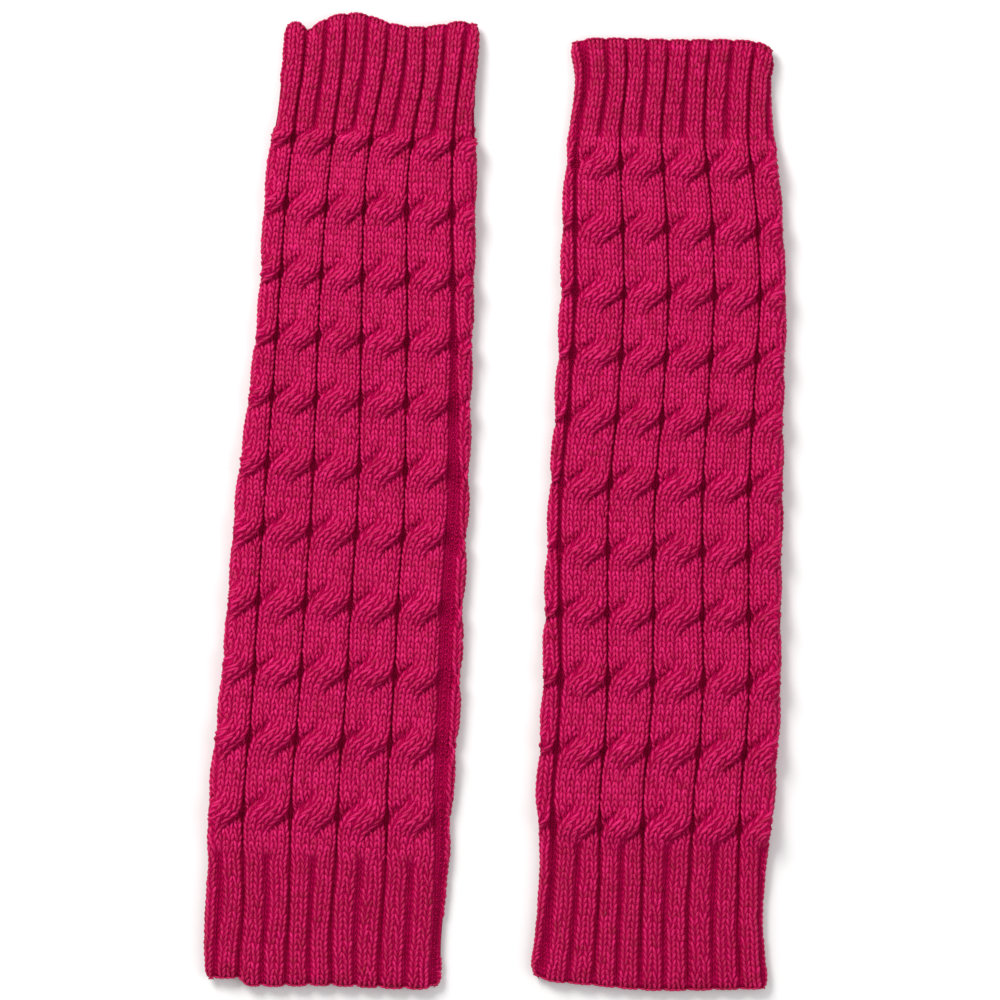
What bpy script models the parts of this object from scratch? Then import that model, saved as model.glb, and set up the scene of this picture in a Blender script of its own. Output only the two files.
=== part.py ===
"""Pair of cable-knit leg warmers, laid flat side by side on a surface.

Each leg warmer is one tube, flattened so that its front lies on its back: a rib cuff, a cabled leg and a
second rib cuff. X runs across the pair, Y along the legs and Z up, with the flat underside at Z = 0.
"""

import math
from collections import namedtuple

import bmesh
import bpy

MM = 0.001

# Stitch repeat: six knit wales crossed three over three, then two purl wales in the valley
CABLES_ROUND = 10
RIBS_PER_CABLE = 2

# Wall of the flattened tube, in mm
BACK_WALL = 3.4
SLIT = 0.4
VALLEY_WALL = 1.7
VALLEY_HOLE = 0.4
BLOCK_RISE = 2.8
BLOCK_SQUARENESS = 4
STRAND_RISE = 1.7
STRAND_SQUARENESS = 2.5
UNDER_DIVE = 1.6
UNDER_SQUARENESS = 4
RIB_VALLEY_WALL = 1.5
RIB_RISE = 1.9
RIB_END_LOBE = 0.8
FOLD_REACH = 4.3
FOLD_RADIUS = 2.7
SEAM_GAP = 0.3
SEAM_SHARE = 0.7
SEAM_FADE = 16.0

# Shape of one cable, in shares of the cable pitch across and of the crossing repeat along
BLOCK_HALF = 0.46
PINCH_LEFT = 0.04
PINCH_RIGHT = 0.015
CROSSING_REACH = 0.22
CROSSING_SWING = 0.13
LANE_DELAY = 0.115

# Mesh lines: across a cable and a rib, along a repeat, and round the plain inside
CABLE_COLUMNS = (-0.94, -0.56, -0.18, 0.18, 0.56, 0.94)
RIB_COLUMNS = (0.14, 0.36)
REPEAT_ROWS = (-0.33, -0.15, 0.0, 0.15, 0.33, 0.5)
REACH_ROUND = 3.2
CABLES_SHOWN = range(-4, 4)
RIBS_SHOWN = range(-8, 8)
INSIDE_COLUMNS = (-1.0, -0.67, -0.33, 0.0, 0.33, 0.67, 1.0)
INSIDE_SETBACK = 1.0
INSIDE_ROWS = 8
CUFF_ROWS = 5
SEAM_VALLEY_HALF = 0.03

# The pair's box is centred on the origin
PAIR_SHIFT_X = -0.92
PAIR_SHIFT_Y = 0.31

# station: place along Y; centre and width: of the flat tube; turn: how far the pattern is turned round it;
# strip: extra width of plain purl in the valley that has the side seam
Section = namedtuple("Section", "station centre width turn strip")
# across: -1 at the left fold to 1 at the right fold; rise: how far the front edge runs past the cuff's end
Edge = namedtuple("Edge", "across rise")
# How far each of the five front valleys strays from its even place, in cables
Stray = namedtuple("Stray", "station far_left left middle right far_right")
# seam_valley: the valley with the side seam, counted in cables from the middle one
Leg = namedtuple("Leg", "name lean seam_valley ends seams crossings sections strays bottom_edge top_edge")

LEFT = Leg(
    name="left",
    lean=0.052,
    seam_valley=2,
    ends=(-213.6, 209.2),
    seams=(-156.4, 162.1),
    crossings=(-137.9, -105.6, -75.5, -45.3, -14.1, 14.7, 44.2, 71.2, 98.6, 128.5, 158.4),
    sections=(
        Section(-212.7, -76.1, 102.1, 3.1, 3.5),
        Section(-192.9, -76.1, 103.0, 3.1, 3.5),
        Section(-157.7, -73.7, 105.2, 2.6, 4.5),
        Section(-131.3, -72.4, 106.5, 2.4, 5.5),
        Section(-87.3, -68.6, 104.7, 2.2, 5.5),
        Section(-43.3, -66.0, 102.5, 2.2, 5.5),
        Section(0.7, -63.1, 101.2, 2.2, 5.0),
        Section(44.7, -59.6, 96.8, 0.0, 3.5),
        Section(88.7, -56.8, 93.3, -1.8, 1.5),
        Section(132.7, -54.8, 92.8, -2.6, 0.5),
        Section(163.5, -53.0, 88.0, -2.2, 0.0),
        Section(194.3, -50.6, 84.5, -0.4, 0.5),
        Section(211.9, -49.7, 84.5, 0.9, 1.0),
    ),
    strays=(
        Stray(-213.6, 0.06, 0.09, 0.06, 0.06, 0.17),
        Stray(-182.0, 0.17, 0.13, 0.03, 0.09, 0.21),
        Stray(-149.0, 0.08, 0.08, 0.06, 0.10, 0.13),
        Stray(-105.0, 0.06, 0.05, 0.03, 0.05, 0.01),
        Stray(3.0, -0.02, 0.02, 0.03, 0.06, 0.01),
        Stray(82.0, 0.05, 0.01, 0.01, 0.08, 0.12),
        Stray(145.0, 0.17, 0.13, 0.01, 0.01, 0.06),
        Stray(187.0, 0.13, 0.12, 0.15, 0.16, 0.05),
        Stray(209.2, 0.06, 0.08, 0.15, 0.06, 0.11),
    ),
    bottom_edge=(Edge(-1.0, 1.8), Edge(-0.72, 2.0), Edge(-0.62, -0.6), Edge(0.0, -1.0), Edge(1.0, 1.8)),
    top_edge=(
        Edge(-1.0, -2.2),
        Edge(-0.75, -2.8),
        Edge(-0.28, 5.0),
        Edge(0.35, 1.2),
        Edge(0.8, 3.0),
        Edge(1.0, 0.8),
    ),
)

RIGHT = Leg(
    name="right",
    lean=0.023,
    seam_valley=-2,
    ends=(-214.1, 202.2),
    seams=(-150.7, 159.5),
    crossings=(-142.8, -109.6, -78.8, -49.5, -21.8, 7.3, 36.0, 63.7, 90.9, 119.9, 147.2),
    sections=(
        Section(-212.7, 67.1, 101.6, -2.6, 2.0),
        Section(-184.1, 67.5, 98.1, -3.5, 2.0),
        Section(-157.7, 69.3, 99.4, -4.4, 1.5),
        Section(-131.3, 70.4, 104.3, -5.1, 1.0),
        Section(-87.3, 73.0, 104.7, -4.0, 1.0),
        Section(-43.3, 73.7, 103.8, -4.4, 1.0),
        Section(0.7, 75.0, 103.0, -4.8, 1.0),
        Section(44.7, 76.6, 100.3, -2.6, 1.0),
        Section(88.7, 78.3, 97.7, -2.2, 1.0),
        Section(132.7, 77.9, 94.6, -3.5, 1.0),
        Section(159.1, 77.4, 90.2, -4.0, 2.0),
        Section(185.5, 77.9, 84.5, -2.2, 1.8),
        Section(203.1, 77.4, 87.6, -1.3, 2.2),
    ),
    strays=(
        Stray(-214.1, -0.08, -0.02, -0.05, -0.03, 0.06),
        Stray(-179.0, 0.04, 0.05, 0.01, 0.03, 0.14),
        Stray(-128.0, 0.10, 0.07, -0.02, 0.06, 0.04),
        Stray(-38.0, 0.04, 0.03, 0.01, 0.06, 0.04),
        Stray(50.0, -0.05, 0.0, -0.01, -0.02, -0.01),
        Stray(132.0, -0.03, 0.02, 0.02, 0.07, 0.10),
        Stray(181.0, 0.0, -0.04, -0.04, -0.01, 0.10),
        Stray(202.2, 0.0, 0.0, 0.02, 0.02, 0.10),
    ),
    bottom_edge=(Edge(-1.0, 7.5), Edge(-0.85, 3.5), Edge(-0.5, 0.8), Edge(0.0, -0.9), Edge(1.0, -0.2)),
    top_edge=(Edge(-1.0, -2.3), Edge(-0.8, 0.6), Edge(0.0, 1.0), Edge(0.8, 0.4), Edge(1.0, -4.5)),
)


def clear_scene():
    for item in list(bpy.data.objects):
        bpy.data.objects.remove(item, do_unlink=True)


def smooth_read(places, values, place):
    """Value at a place, on a smooth curve through the table's rows."""
    place = min(max(place, places[0]), places[-1])
    k = max(i for i in range(len(places) - 1) if places[i] <= place)
    slopes = []
    for i in (k, k + 1):
        low, high = max(i - 1, 0), min(i + 1, len(places) - 1)
        slopes.append((values[high] - values[low]) / (places[high] - places[low]))
    span = places[k + 1] - places[k]
    s = (place - places[k]) / span
    start = (2 * s**3 - 3 * s**2 + 1) * values[k] + (s**3 - 2 * s**2 + s) * span * slopes[0]
    end = (3 * s**2 - 2 * s**3) * values[k + 1] + (s**3 - s**2) * span * slopes[1]
    return start + end


def section_at(leg, station):
    places = [row.station for row in leg.sections]
    columns = zip(*[row[1:] for row in leg.sections])
    return [smooth_read(places, column, station) for column in columns]


def flat_tube(leg, station):
    """Half width of the tube's flat stretch, the cable pitch round it, the pattern's turn and the purl strip."""
    centre, width, turn, strip = section_at(leg, station)
    flat_half = width / 2 - FOLD_REACH
    pitch = (4 * flat_half + 2 * math.pi * FOLD_RADIUS - strip) / CABLES_ROUND
    return flat_half, pitch, turn, strip


def seam_spread(leg, place):
    """Share of the purl strip's width that lies between the pattern's middle and a place: 0 to 1 past the seam."""
    past = math.copysign(place, place * leg.seam_valley) - abs(leg.seam_valley)
    share = min(max(0.5 + past / (2 * SEAM_VALLEY_HALF), 0.0), 1.0)
    return math.copysign(share, leg.seam_valley)


def stray_at(leg, place, station):
    """How far the pattern strays sideways at a place, in cables, between the two valleys beside it."""
    columns = list(zip(*leg.strays))
    stations, valleys = columns[0], columns[1:]
    share = min(max(place + 2.0, 0.0), 4.0)
    k = min(int(share), 3)
    left, right = (smooth_read(stations, valleys[i], station) for i in (k, k + 1))
    return left + (share - k) * (right - left)


def edge_rise(edge, across):
    return smooth_read([row.across for row in edge], [row.rise for row in edge], across)


def crossing_phase(leg, station):
    """Place in the crossing repeat: 0 at the nearest crossing, -0.5 and 0.5 midway to the next ones."""
    nearest = min(range(len(leg.crossings)), key=lambda i: abs(leg.crossings[i] - station))
    offset = station - leg.crossings[nearest]
    beyond = nearest + (1 if offset > 0 else -1)
    if not 0 <= beyond < len(leg.crossings):
        beyond = nearest - (1 if offset > 0 else -1)
    return offset / abs(leg.crossings[beyond] - leg.crossings[nearest])


def near_crossing(phase):
    return math.exp(-((phase / CROSSING_REACH) ** 2))


def dome(off, squareness):
    return math.sqrt(max(0.0, 1 - abs(off) ** squareness))


def strand_place(across, phase):
    """Place in the cable, -1 to 1, of the strand on top of a crossing; its right side swings over first."""
    return 0.5 * across + 0.5 * math.tanh((phase + LANE_DELAY * across) / CROSSING_SWING)


def strand_across(u, phase):
    """The way back: which part of that strand lies at u, where -1 and 1 are its edges."""
    left, right = strand_place(-1, phase), strand_place(1, phase)
    return 2 * (u - left) / (right - left) - 1


def cable_height(u, phase):
    """Rounded block, with the strand that runs from lower left to upper right lifted over the other."""
    near = near_crossing(phase)
    over = (BLOCK_RISE + STRAND_RISE) * dome(strand_across(u, phase), STRAND_SQUARENESS)
    under = (BLOCK_RISE - UNDER_DIVE) * dome(strand_across(-u, phase), UNDER_SQUARENESS)
    return (1 - near) * BLOCK_RISE * dome(u, BLOCK_SQUARENESS) + near * max(over, under)


def valley_lines(leg, valley):
    """One mesh line down a valley, or two where it holds the side seam's purl strip."""
    if valley == leg.seam_valley:
        return [valley - SEAM_VALLEY_HALF, valley + SEAM_VALLEY_HALF]
    return [valley]


def cable_columns(leg):
    """Each mesh line round a cabled leg, as the cable's number and its place across that cable."""
    lines = []
    for cable in CABLES_SHOWN:
        if abs(cable) < REACH_ROUND:
            lines += [(valley, None) for valley in valley_lines(leg, cable)]
        lines += [(cable, u) for u in CABLE_COLUMNS if abs(cable + 0.5 + BLOCK_HALF * u) < REACH_ROUND]
    return lines


def cable_line(leg, line, station):
    """Place round the tube, in cables from its middle valley, and wall height of a line at a station."""
    cable, u = line
    phase = crossing_phase(leg, station)
    if u is None:
        return cable, VALLEY_WALL - VALLEY_HOLE * near_crossing(phase)
    left = -BLOCK_HALF + PINCH_LEFT * near_crossing(phase)
    right = BLOCK_HALF - PINCH_RIGHT * near_crossing(phase)
    place = cable + 0.5 + (left + right) / 2 + u * (right - left) / 2
    to_seam = min(station - leg.seams[0], leg.seams[1] - station)
    fade = min(1.0, SEAM_SHARE + to_seam / SEAM_FADE)
    return place, VALLEY_WALL + fade * cable_height(u, phase)


def rib_columns(leg):
    """Each mesh line round a rib cuff, as its place in cables and how far it stands up the rib."""
    lines = []
    for rib in RIBS_SHOWN:
        start = rib / RIBS_PER_CABLE
        lines += [(valley, 0.0) for valley in valley_lines(leg, start)]
        lines += [(start + share, 1.0) for share in RIB_COLUMNS]
    return [line for line in lines if abs(line[0]) < REACH_ROUND]


def rib_line(leg, line, station):
    return line[0], RIB_VALLEY_WALL + RIB_RISE * line[1]


def tube_point(leg, station, place, wall):
    """Outer point of the wall, from its place round the flattened tube and the wall's height there."""
    flat_half, pitch, turn, strip = flat_tube(leg, station)
    walk = turn + (place + stray_at(leg, place, station)) * pitch + seam_spread(leg, place) * strip
    side = math.copysign(1.0, walk)
    past = abs(walk) - flat_half
    slit_middle = BACK_WALL + SLIT / 2
    angle = min(max(past / FOLD_RADIUS, 0.0), math.pi)
    if past <= 0:
        x = walk
    elif angle < math.pi:
        x = side * (flat_half + (SLIT / 2 + wall) * math.sin(angle))
    else:
        x = side * (flat_half - (past - math.pi * FOLD_RADIUS))
    radius = SLIT / 2 + wall if angle < math.pi / 2 else slit_middle
    z = slit_middle + radius * math.cos(angle)
    return x, z, angle


def pair_point(leg, station, x, z, rise):
    """Point of the pair, in metres, from a place across one tube; its rows lean down to the right."""
    centre = section_at(leg, station)[0]
    return (centre + x + PAIR_SHIFT_X) * MM, (station - leg.lean * x + rise + PAIR_SHIFT_Y) * MM, z * MM


def outer_ring(leg, station, lines, read_line, edge=None, outward=0.0):
    """Outer points of one ring, with the front edge's waves and the ribs' round ends where it ends a cuff."""
    ring = []
    half = section_at(leg, station)[1] / 2
    for line in lines:
        place, wall = read_line(leg, line, station)
        x, z, angle = tube_point(leg, station, place, wall)
        rise = 0.0
        if edge:
            front = (1 + math.cos(angle)) / 2
            lobe = outward * RIB_END_LOBE * line[1]
            rise = front * (edge_rise(edge, x / half) + lobe)
        ring.append((place, pair_point(leg, station, x, z, rise)))
    return ring


def inner_ring(leg, station, edge=None):
    """Points of the plain inside, a slit between the front and the back that lie on each other."""
    flat_half, pitch, turn = flat_tube(leg, station)[:3]
    middle = BACK_WALL + SLIT / 2
    half_turn = math.pi * FOLD_RADIUS
    back = (flat_half + half_turn + INSIDE_SETBACK, flat_half - INSIDE_SETBACK, middle - SLIT / 2, 0.0)
    side = (flat_half + half_turn / 2, flat_half + SLIT / 2, middle, 0.5)
    front = [(share * flat_half, share * flat_half, middle + SLIT / 2, 1.0) for share in INSIDE_COLUMNS]
    mirrored = [(-walk, -x, z, share) for walk, x, z, share in (back, side)]
    ring = []
    for walk, x, z, share in mirrored + front + [side, back]:
        rise = share * edge_rise(edge, x / (flat_half + FOLD_REACH)) if edge else 0.0
        ring.append(((walk - turn) / pitch, pair_point(leg, station, x, z, rise)))
    return ring


def skin(mesh, rings, inward):
    """Quads between rings of one side of the wall, closed underneath by one flat strip."""
    for low, high in zip(rings, rings[1:]):
        count = len(low)
        for i in range(count):
            j = (i + 1) % count
            face = [low[i], low[j], high[j], high[i]]
            mesh.faces.new(face if inward else face[::-1])


def end_face(mesh, outer, outer_places, inner, inner_places, at_top):
    """Triangles across the end of the wall, stepping along both rings in order round the tube."""
    i = j = 0
    while i < len(outer) - 1 or j < len(inner) - 1:
        step_outer = j == len(inner) - 1
        if i < len(outer) - 1 and not step_outer:
            step_outer = outer_places[i + 1] <= inner_places[j + 1]
        if step_outer:
            face = [outer[i], outer[i + 1], inner[j]]
            i += 1
        else:
            face = [outer[i], inner[j + 1], inner[j]]
            j += 1
        mesh.faces.new(face if at_top else face[::-1])
    closing = [outer[-1], outer[0], inner[0], inner[-1]]
    mesh.faces.new(closing if at_top else closing[::-1])


def tube_mesh(outer_rings, inner_rings):
    mesh = bmesh.new()
    outer = [[mesh.verts.new(point) for place, point in ring] for ring in outer_rings]
    inner = [[mesh.verts.new(point) for place, point in ring] for ring in inner_rings]
    skin(mesh, outer, False)
    skin(mesh, inner, True)
    for k, at_top in ((0, False), (-1, True)):
        outer_places = [place for place, point in outer_rings[k]]
        inner_places = [place for place, point in inner_rings[k]]
        end_face(mesh, outer[k], outer_places, inner[k], inner_places, at_top)
    bmesh.ops.triangulate(mesh, faces=mesh.faces)
    bmesh.ops.recalc_face_normals(mesh, faces=mesh.faces)
    return mesh


def add_node(name, mesh, parent, material):
    data = bpy.data.meshes.new(name)
    mesh.to_mesh(data)
    mesh.free()
    data.transform(parent.matrix_basis.inverted())
    data.materials.append(material)
    node = bpy.data.objects.new(name, data)
    node.parent = parent
    bpy.context.collection.objects.link(node)
    data.shade_smooth()
    data.set_sharp_from_angle(angle=math.radians(50))
    return node


def yarn(name, colour, roughness):
    material = bpy.data.materials.new(name)
    material.use_nodes = True
    shader = material.node_tree.nodes["Principled BSDF"]
    shader.inputs["Base Color"].default_value = (*colour, 1.0)
    shader.inputs["Roughness"].default_value = roughness
    shader.inputs["Metallic"].default_value = 0.0
    return material


def leg_stations(leg):
    """Stations of the cabled leg's rings: its two seams, and lines through each crossing's repeat."""
    low, high = (leg.seams[0] + SEAM_GAP / 2, leg.seams[1] - SEAM_GAP / 2)
    stations = []
    last = len(leg.crossings) - 1
    for k, crossing in enumerate(leg.crossings):
        below = leg.crossings[k] - leg.crossings[k - 1] if k else leg.crossings[1] - leg.crossings[0]
        above = leg.crossings[k + 1] - leg.crossings[k] if k < last else below
        stations += [crossing + row * (above if row > 0 else below) for row in REPEAT_ROWS]
    stations.append(leg.crossings[0] - 0.5 * (leg.crossings[1] - leg.crossings[0]))
    inside = [station for station in stations if low + 1.0 < station < high - 1.0]
    return [low] + sorted(inside) + [high]


def even_stations(low, high, count):
    return [low + (high - low) * i / (count - 1) for i in range(count)]


def make_leg(leg, parent, material):
    stations = leg_stations(leg)
    lines = cable_columns(leg)
    outer = [outer_ring(leg, station, lines, cable_line) for station in stations]
    inside = even_stations(stations[0], stations[-1], INSIDE_ROWS)
    inner = [inner_ring(leg, station) for station in inside]
    add_node(f"{leg.name}_leg", tube_mesh(outer, inner), parent, material)


def make_cuff(leg, parent, material, at_top):
    lines = rib_columns(leg)
    if at_top:
        stations = even_stations(leg.seams[1] + SEAM_GAP / 2, leg.ends[1], CUFF_ROWS)
        edges = [None] * (CUFF_ROWS - 1) + [leg.top_edge]
    else:
        stations = even_stations(leg.ends[0], leg.seams[0] - SEAM_GAP / 2, CUFF_ROWS)
        edges = [leg.bottom_edge] + [None] * (CUFF_ROWS - 1)
    outward = 1.0 if at_top else -1.0
    outer = [outer_ring(leg, s, lines, rib_line, edge, outward) for s, edge in zip(stations, edges)]
    inner = [inner_ring(leg, s, edge) for s, edge in zip(stations, edges)]
    name = f"{leg.name}_{'top' if at_top else 'bottom'}_cuff"
    add_node(name, tube_mesh(outer, inner), parent, material)


def make_warmer(leg, material):
    parent = bpy.data.objects.new(f"{leg.name}_warmer", None)
    bpy.context.collection.objects.link(parent)
    centre = section_at(leg, 0.0)[0]
    parent.location = ((centre + PAIR_SHIFT_X) * MM, PAIR_SHIFT_Y * MM, 0.0)
    make_cuff(leg, parent, material, False)
    make_leg(leg, parent, material)
    make_cuff(leg, parent, material, True)


clear_scene()
raspberry = yarn("raspberry_yarn", (0.56, 0.008, 0.085), 0.85)
for warmer in (LEFT, RIGHT):
    make_warmer(warmer, raspberry)
bpy.context.view_layer.update()
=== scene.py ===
"""Looks of the pair of cable-knit leg warmers: knitted skins, yarn stitches, edges, floor, light and camera.

Each leg warmer is a flattened tube. A point of its knit is given by its place round the tube, counted in
cables from the front's middle valley, its knit row, counted from the bottom edge, and the wall's height.
"""

import math
from collections import namedtuple

import bpy
import numpy as np
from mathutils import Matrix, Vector


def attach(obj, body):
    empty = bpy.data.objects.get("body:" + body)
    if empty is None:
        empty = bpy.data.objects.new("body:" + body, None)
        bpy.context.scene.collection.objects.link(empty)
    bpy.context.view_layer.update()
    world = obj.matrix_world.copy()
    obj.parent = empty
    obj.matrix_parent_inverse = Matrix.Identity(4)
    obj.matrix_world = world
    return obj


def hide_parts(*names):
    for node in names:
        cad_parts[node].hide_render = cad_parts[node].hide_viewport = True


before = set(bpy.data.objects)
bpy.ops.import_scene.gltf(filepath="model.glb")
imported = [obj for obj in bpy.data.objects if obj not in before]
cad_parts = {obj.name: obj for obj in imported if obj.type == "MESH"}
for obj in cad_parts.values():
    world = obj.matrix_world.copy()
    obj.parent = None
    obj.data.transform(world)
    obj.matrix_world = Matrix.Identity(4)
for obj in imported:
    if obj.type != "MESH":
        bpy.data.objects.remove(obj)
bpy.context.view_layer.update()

MM = 0.001

# Stitch repeat: six knit wales crossed three over three, then two purl wales in the valley
CABLES_ROUND = 10
ROWS_PER_CROSSING = 12
CROSSINGS = 11

# Wall of the flattened tube, in mm; its valleys are a little deeper than those of the solids
BACK_WALL = 3.4
SLIT = 0.4
VALLEY_WALL = 1.3
BLOCK_RISE = 3.5
BLOCK_SQUARENESS = 4
STRAND_RISE = 2.5
STRAND_SQUARENESS = 4
UNDER_DIVE = 3.0
UNDER_SQUARENESS = 4
RIB_VALLEY_WALL = 0.9
RIB_RISE = 3.0
RIB_HALF = 0.225
RIB_SQUARENESS = 3
FOLD_REACH = 4.3
FOLD_RADIUS = 2.7
SEAM_VALLEY_HALF = 0.03
BACK_PRESS = 0.7
FLOOR_CLEARANCE = 0.05

# Shape of one cable, in shares of the cable pitch across and of the crossing repeat along
BLOCK_HALF = 0.48
PINCH = 0.012
CROSSING_REACH = 0.22
UNDER_REACH = 0.25
DIVE_GAP = 0.9
CROSSING_SWING = 0.13
LANE_DELAY = 0.115
CROSSING_DRIFT = 0.02
RIB_LANE = 0.096
RIB_BLEND_ROWS = 2.0
# Next to the leg the two ribs of a cable stand apart and close the valley to the next cable's ribs
RIB_SPREAD = 0.030
RIB_SPREAD_ROWS = (0.0, 5.0, 16.0)

# At the side folds the crossings lie flat and the cables draw in a little there
CALM_FROM = math.radians(30)
CALM_TO = math.radians(75)
FOLD_PINCH = 0.30

# The ends of the cuffs: rows over which they wave, their edge rolls in and their valleys close, and the
# shares of the full height that are left at the rolled edge and that a closed valley is filled to
EDGE_WAVE_ROWS = 9.0
LOBE_ROWS = 3.0
ROLL_ROWS = 1.4
ROLLED_SHARE = 0.25
CLOSE_ROWS = (3.0, 0.5)
CLOSED_SHARE = 0.6

# Yarn, in mm, how far down the skin lies behind the stitches, and how far round the folds they go
LEG_RADIUS = 0.70
LEG_DEPTH = 0.62
BUMP_RADIUS = 0.50
BACKING = 0.65
FOLD_LIMIT = math.radians(128)

# The pair's box is centred on the origin
PAIR_SHIFT_X = -0.92
PAIR_SHIFT_Y = 0.31

# station: place along Y; centre and width: of the flat tube; turn: how far the pattern is turned round it;
# strip: extra width of plain purl in the valley that has the side seam
Section = namedtuple("Section", "station centre width turn strip")
# across: -1 at the left fold to 1 at the right fold; rise: how far the front edge runs past the cuff's end
Edge = namedtuple("Edge", "across rise")
# How far each of the five front valleys strays from its even place, in cables
Stray = namedtuple("Stray", "station far_left left middle right far_right")
# lobe: how far the ribs' round ends stand past the valleys; inset: how far the end is drawn in; both in mm;
# close: how far the edge row closes the valleys, 0 to 1
End = namedtuple("End", "lobe inset close")
# seam_valley: the valley with the side seam; rows and stations: the ends, the cuffs' seams and the crossings
Leg = namedtuple(
    "Leg",
    "name lean seam_valley seam_rows end_row first_row stations sections"
    " bottom_end bottom_edge top_end top_edge strays",
)

LEFT = Leg(
    name="left",
    lean=0.052,
    seam_valley=2,
    seam_rows=(22, 151),
    end_row=170,
    first_row=29,
    stations=(
        -213.6, -156.4, -137.9, -105.6, -75.5, -45.3, -14.1, 14.7, 44.2, 71.2, 98.6, 128.5, 158.4, 162.1, 209.2,
    ),
    sections=(
        Section(-212.7, -75.3, 105.3, 2.3, 3.5),
        Section(-192.9, -75.3, 106.0, 2.3, 3.5),
        Section(-157.7, -73.1, 106.8, 2.0, 4.5),
        Section(-131.3, -72.0, 107.4, 2.0, 5.5),
        Section(-87.3, -68.1, 105.7, 1.7, 5.5),
        Section(-43.3, -65.4, 103.7, 1.6, 5.5),
        Section(0.7, -62.6, 102.2, 1.7, 5.0),
        Section(44.7, -59.3, 97.6, -0.3, 3.5),
        Section(88.7, -56.5, 94.1, -2.1, 1.5),
        Section(132.7, -54.8, 92.8, -2.6, 0.5),
        Section(163.5, -52.8, 90.0, -2.2, 0.0),
        Section(194.3, -50.4, 87.6, -0.4, 0.5),
        Section(211.9, -49.5, 87.9, 0.9, 1.0),
    ),
    bottom_end=End(0.9, 1.4, 0.2),
    bottom_edge=(
        Edge(-1.0, 0.4),
        Edge(-0.72, 1.4),
        Edge(-0.62, -1.4),
        Edge(0.0, 0.4),
        Edge(0.8, 1.0),
        Edge(1.0, 3.4),
    ),
    top_end=End(0.5, 0.6, 0.5),
    top_edge=(
        Edge(-1.0, -2.8),
        Edge(-0.84, -0.4),
        Edge(-0.73, -3.4),
        Edge(-0.64, -0.4),
        Edge(-0.47, 3.4),
        Edge(-0.28, 4.8),
        Edge(-0.15, 4.4),
        Edge(0.06, 1.6),
        Edge(0.25, 0.2),
        Edge(0.42, 0.4),
        Edge(0.60, 1.8),
        Edge(0.8, 3.6),
        Edge(1.0, 2.2),
    ),
    strays=(
        Stray(-213.6, 0.06, 0.09, 0.06, 0.06, 0.17),
        Stray(-182.0, 0.17, 0.13, 0.03, 0.09, 0.21),
        Stray(-149.0, 0.08, 0.08, 0.06, 0.10, 0.13),
        Stray(-105.0, 0.06, 0.05, 0.03, 0.05, 0.01),
        Stray(3.0, -0.02, 0.02, 0.03, 0.06, 0.01),
        Stray(82.0, 0.05, 0.01, 0.01, 0.08, 0.12),
        Stray(145.0, 0.17, 0.13, 0.01, 0.01, 0.06),
        Stray(187.0, 0.13, 0.12, 0.15, 0.16, 0.05),
        Stray(209.2, 0.06, 0.08, 0.15, 0.06, 0.11),
    ),
)

RIGHT = Leg(
    name="right",
    lean=0.023,
    seam_valley=-2,
    seam_rows=(24, 152),
    end_row=169,
    first_row=27,
    stations=(
        -214.1, -150.7, -142.8, -109.6, -78.8, -49.5, -21.8, 7.3, 36.0, 63.7, 90.9, 119.9, 147.2, 159.5, 202.2,
    ),
    sections=(
        Section(-212.7, 67.9, 106.2, -3.4, 2.0),
        Section(-184.1, 68.1, 100.9, -4.1, 2.0),
        Section(-157.7, 69.7, 101.0, -4.8, 1.5),
        Section(-131.3, 70.4, 104.3, -5.1, 1.0),
        Section(-87.3, 73.0, 104.7, -4.0, 1.0),
        Section(-43.3, 73.7, 103.8, -4.4, 1.0),
        Section(0.7, 75.0, 103.0, -4.8, 1.0),
        Section(44.7, 76.6, 100.3, -2.6, 1.0),
        Section(88.7, 78.2, 99.2, -2.1, 1.0),
        Section(132.7, 77.8, 96.0, -3.4, 1.0),
        Section(159.1, 77.6, 91.6, -4.2, 2.0),
        Section(185.5, 78.5, 87.7, -2.8, 1.8),
        Section(203.1, 78.2, 93.2, -2.1, 2.2),
    ),
    bottom_end=End(0.4, 0.9, 0.6),
    bottom_edge=(
        Edge(-1.0, 5.8),
        Edge(-0.85, 2.4),
        Edge(-0.5, 0.8),
        Edge(0.0, -0.9),
        Edge(0.6, 0.1),
        Edge(1.0, 1.0),
    ),
    top_end=End(0.5, 0.8, 0.5),
    top_edge=(Edge(-1.0, -2.3), Edge(-0.8, 0.6), Edge(0.0, 1.0), Edge(0.8, 0.8), Edge(1.0, -4.5)),
    strays=(
        Stray(-214.1, -0.08, -0.02, -0.05, -0.03, 0.06),
        Stray(-179.0, 0.04, 0.05, 0.01, 0.03, 0.14),
        Stray(-128.0, 0.10, 0.07, -0.02, 0.06, 0.04),
        Stray(-38.0, 0.04, 0.03, 0.01, 0.06, 0.04),
        Stray(50.0, -0.05, 0.0, -0.01, -0.02, -0.01),
        Stray(132.0, -0.03, 0.02, 0.02, 0.07, 0.10),
        Stray(181.0, 0.0, -0.04, -0.04, -0.01, 0.10),
        Stray(202.2, 0.0, 0.0, 0.02, 0.02, 0.10),
    ),
)


def smooth_read(places, values, place):
    """Values at places, on a smooth curve through a table's rows."""
    places, values = np.array(places, float), np.array(values, float)
    place = np.clip(place, places[0], places[-1])
    order = np.arange(len(places))
    low, high = np.maximum(order - 1, 0), np.minimum(order + 1, len(places) - 1)
    slopes = (values[high] - values[low]) / (places[high] - places[low])
    k = np.clip(np.searchsorted(places, place, side="right") - 1, 0, len(places) - 2)
    span = places[k + 1] - places[k]
    s = (place - places[k]) / span
    start = (2 * s**3 - 3 * s**2 + 1) * values[k] + (s**3 - 2 * s**2 + s) * span * slopes[k]
    end = (3 * s**2 - 2 * s**3) * values[k + 1] + (s**3 - s**2) * span * slopes[k + 1]
    return start + end


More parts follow.
